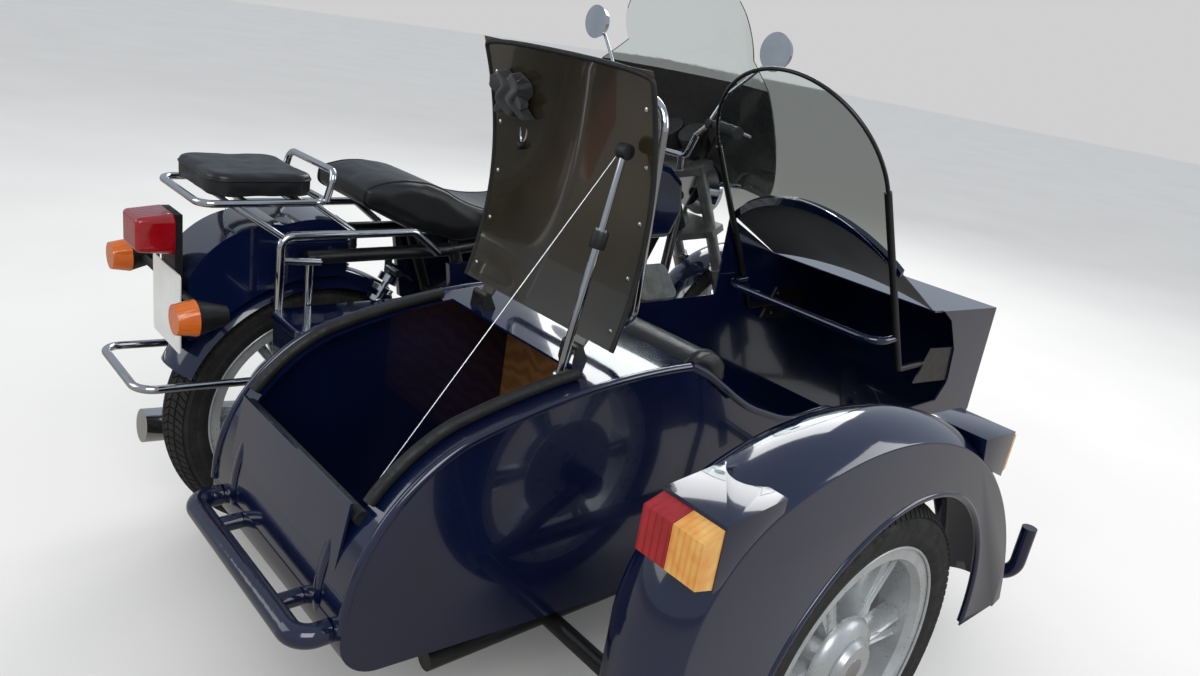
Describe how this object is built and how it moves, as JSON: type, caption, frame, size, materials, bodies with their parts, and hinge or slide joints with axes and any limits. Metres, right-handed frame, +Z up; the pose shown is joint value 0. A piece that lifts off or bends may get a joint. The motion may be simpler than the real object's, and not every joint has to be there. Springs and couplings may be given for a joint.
{
  "type": "sidecar motorcycle",
  "caption": "Heavy touring motorcycle with an open sidecar on its right: turning wheels, steering, and a boot lid on a telescopic stay.",
  "frame": {"origin": "on the floor below the middle of the whole outfit", "axes": "+X forward, +Y to the rider's left, +Z up"},
  "size_m": [2.3159, 1.836, 1.48],
  "materials": {
    "navy_paint": "deep gloss navy blue paint",
    "frame_black": "satin black enamel",
    "engine_alloy": "bare cast light alloy",
    "wheel_silver": "silver lacquer on cast alloy",
    "chrome": "polished chrome plate",
    "tyre_rubber": "road tyre rubber",
    "black_rubber": "moulded black rubber",
    "black_vinyl": "grained black vinyl",
    "black_plastic": "grained black plastic",
    "red_lens": "red lamp lens",
    "amber_lens": "amber lamp lens",
    "clear_sheet": "clear windscreen sheet",
    "cowl_cloth": "coated dark cloth",
    "lid_black": "gloss black paint",
    "plywood": "plain plywood",
    "plate_white": "blank white plate"
  },
  "bodies": {
    "root": {"backrest": "black_vinyl", "bike_frame": "frame_black", "boot_partition": "plywood", "boot_seal": "black_rubber", "bumpers": "navy_paint", "carrier": "chrome", "cowl_cover": "cowl_cloth", "cowl_hoop": "navy_paint", "cylinders": "engine_alloy", "dual_seat": "black_vinyl", "engine_block": "engine_alloy", "exhaust": "chrome", "fuel_tank": "navy_paint", "grab_bar": "navy_paint", "lid_hinges": "frame_black", "marker_housings": "navy_paint", "marker_lamps": "amber_lens", "marker_red": "red_lens", "number_plate": "plate_white", "pillion_pad": "black_vinyl", "rear_indicators": "amber_lens", "rear_mudguard": "navy_paint", "seat_cushion": "black_vinyl", "shock_absorbers": "chrome", "side_box": "navy_paint", "side_covers": "navy_paint", "sidecar_body": "navy_paint", "sidecar_chassis": "frame_black", "sidecar_mudguard": "navy_paint", "swingarm_drive": "frame_black", "tail_bracket": "black_plastic", "tail_lamp": "red_lens", "windscreen_frame": "frame_black", "windscreen_pane": "clear_sheet"},
    "rear_wheel": {"rear_tyre": "tyre_rubber", "rear_rim": "wheel_silver"},
    "front_wheel": {"front_tyre": "tyre_rubber", "front_rim": "wheel_silver"},
    "sidecar_wheel": {"sidecar_tyre": "tyre_rubber", "sidecar_rim": "wheel_silver"},
    "fork": {"fork": "engine_alloy", "front_mudguard": "navy_paint", "headlamp": "chrome", "instruments": "black_plastic", "handlebar": "chrome", "grips": "black_rubber", "mirrors": "chrome", "windshield_pane": "clear_sheet", "windshield_band": "black_plastic"},
    "boot_lid": {"boot_lid": "lid_black", "lid_rack": "chrome", "lid_wrap": "cowl_cloth"},
    "stay_tube": {"stay_tube": "chrome"},
    "stay_rod": {"stay_rod": "chrome"}
  },
  "joints": [
    {"name": "rear_wheel_spin", "type": "hinge", "parent": "root", "child": "rear_wheel", "pos_m": [-0.7285, 0.495, 0.33], "axis": [0, 1, 0], "continuous": true},
    {"name": "sidecar_wheel_spin", "type": "hinge", "parent": "root", "child": "sidecar_wheel", "pos_m": [-0.3225, -0.837, 0.33], "axis": [0, 1, 0], "continuous": true},
    {"name": "steering", "type": "hinge", "parent": "root", "child": "fork", "pos_m": [0.54867, 0.495, 0.72], "axis": [-0.4695, 0, 0.8829], "range_deg": [-28, 28]},
    {"name": "front_wheel_spin", "type": "hinge", "parent": "fork", "child": "front_wheel", "pos_m": [0.8365, 0.495, 0.322], "axis": [0, 1, 0], "continuous": true},
    {"name": "lid_hinge", "type": "hinge", "parent": "root", "child": "boot_lid", "pos_m": [-0.5825, -0.1625, 0.772], "axis": [0, -1, 0], "range_deg": [0, 108.4]},
    {"name": "stay_foot_turn", "type": "hinge", "parent": "root", "child": "stay_tube", "pos_m": [-0.6435, -0.355, 0.735], "axis": [0, -1, 0], "range_deg": [0, 113.47]},
    {"name": "stay_slide", "type": "slide", "parent": "stay_tube", "child": "stay_rod", "axis": [0.1765, 0, 0.9843], "range_m": [-0.11277, 0]}
  ],
  "couplings": [
    {"joint": "stay_foot_turn", "follows": "lid_hinge", "ratio": 1.0449},
    {"joint": "stay_slide", "follows": "lid_hinge", "m_per_rad": -0.059075}
  ]
}
